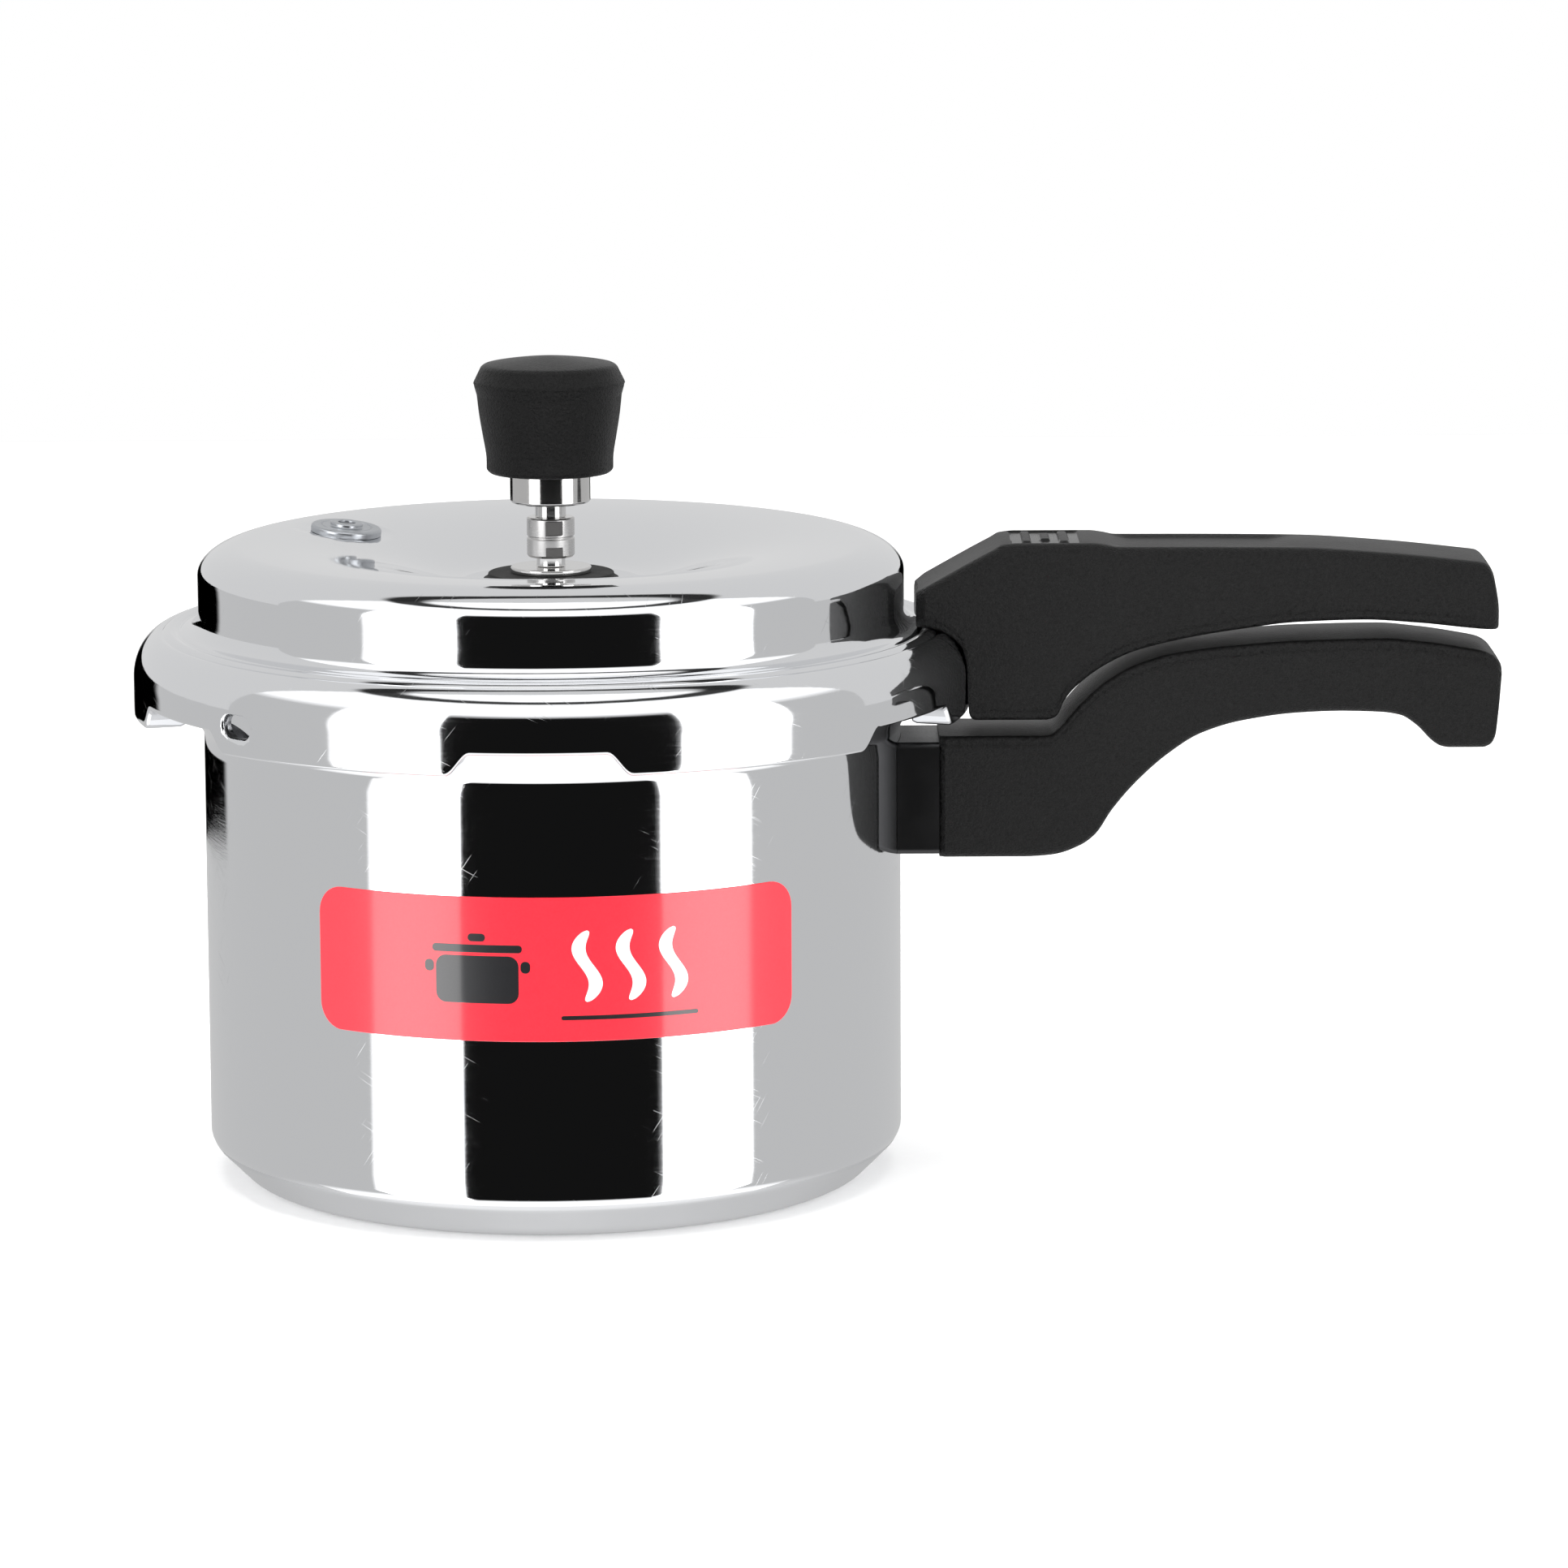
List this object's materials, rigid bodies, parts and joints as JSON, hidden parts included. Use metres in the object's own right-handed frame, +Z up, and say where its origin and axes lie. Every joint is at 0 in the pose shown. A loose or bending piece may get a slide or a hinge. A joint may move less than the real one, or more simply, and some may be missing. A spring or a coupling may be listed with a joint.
{
  "type": "pressure cooker",
  "caption": "Stovetop pressure cooker: drawn pot, bayonet lid that turns to unlock, long twin handles, lift-off pressure weight on a central vent, fusible safety valve.",
  "frame": {"origin": "centre of the pot's flat base, on the surface it stands on", "axes": "+Z up along the pot's axis, +X along both handles"},
  "size_m": [0.3521, 0.2156, 0.2123],
  "materials": {
    "pot_aluminium": "mirror polished",
    "lid_aluminium": "mirror polished",
    "rivet_aluminium": "satin",
    "bracket_steel": "plated",
    "guard_steel": "polished, dark",
    "screw_steel": "nickel plated",
    "handle_phenolic": "moulded phenolic with a fine leather grain",
    "knob_phenolic": "moulded phenolic, satin",
    "label_vinyl": "glossy printed vinyl",
    "gasket_rubber": "moulded nitrile",
    "washer_rubber": "moulded",
    "vent_steel": "turned, bright",
    "core_steel": "polished",
    "nut_brass": "turned",
    "valve_aluminium": "turned, satin",
    "fusible_alloy": "cast, dull",
    "spring_steel": "drawn wire"
  },
  "bodies": {
    "pot": {"pot_body": "pot_aluminium", "pot_rim": "pot_aluminium", "body_bracket": "bracket_steel", "bracket_rivets": "rivet_aluminium", "flame_guard": "guard_steel", "body_handle": "handle_phenolic", "body_handle_screw": "screw_steel", "body_handle_washer": "screw_steel", "front_label": "label_vinyl"},
    "lid": {"lid_shell": "lid_aluminium", "lid_gasket": "gasket_rubber", "lid_bracket": "bracket_steel", "lid_bracket_rivets": "rivet_aluminium", "lid_handle": "handle_phenolic", "lid_handle_screws": "screw_steel", "lid_handle_washers": "screw_steel", "vent_tube": "vent_steel", "vent_washer_outer": "washer_rubber", "vent_washer_inner": "washer_rubber", "vent_nut": "nut_brass", "safety_valve_body": "valve_aluminium", "safety_valve_plug": "fusible_alloy", "safety_valve_washer": "washer_rubber", "safety_valve_nut": "nut_brass"},
    "weight": {"weight_cap": "knob_phenolic", "weight_core": "core_steel", "weight_needle": "vent_steel", "weight_clip": "spring_steel"}
  },
  "joints": [
    {"name": "lid_turn", "type": "hinge", "parent": "pot", "child": "lid", "pos_m": [0, 0, 0.1], "axis": [0, 0, 1], "range_deg": [0, 30]},
    {"name": "weight_lift", "type": "slide", "parent": "lid", "child": "weight", "axis": [0, 0, 1], "range_m": [0, 0.03]}
  ]
}
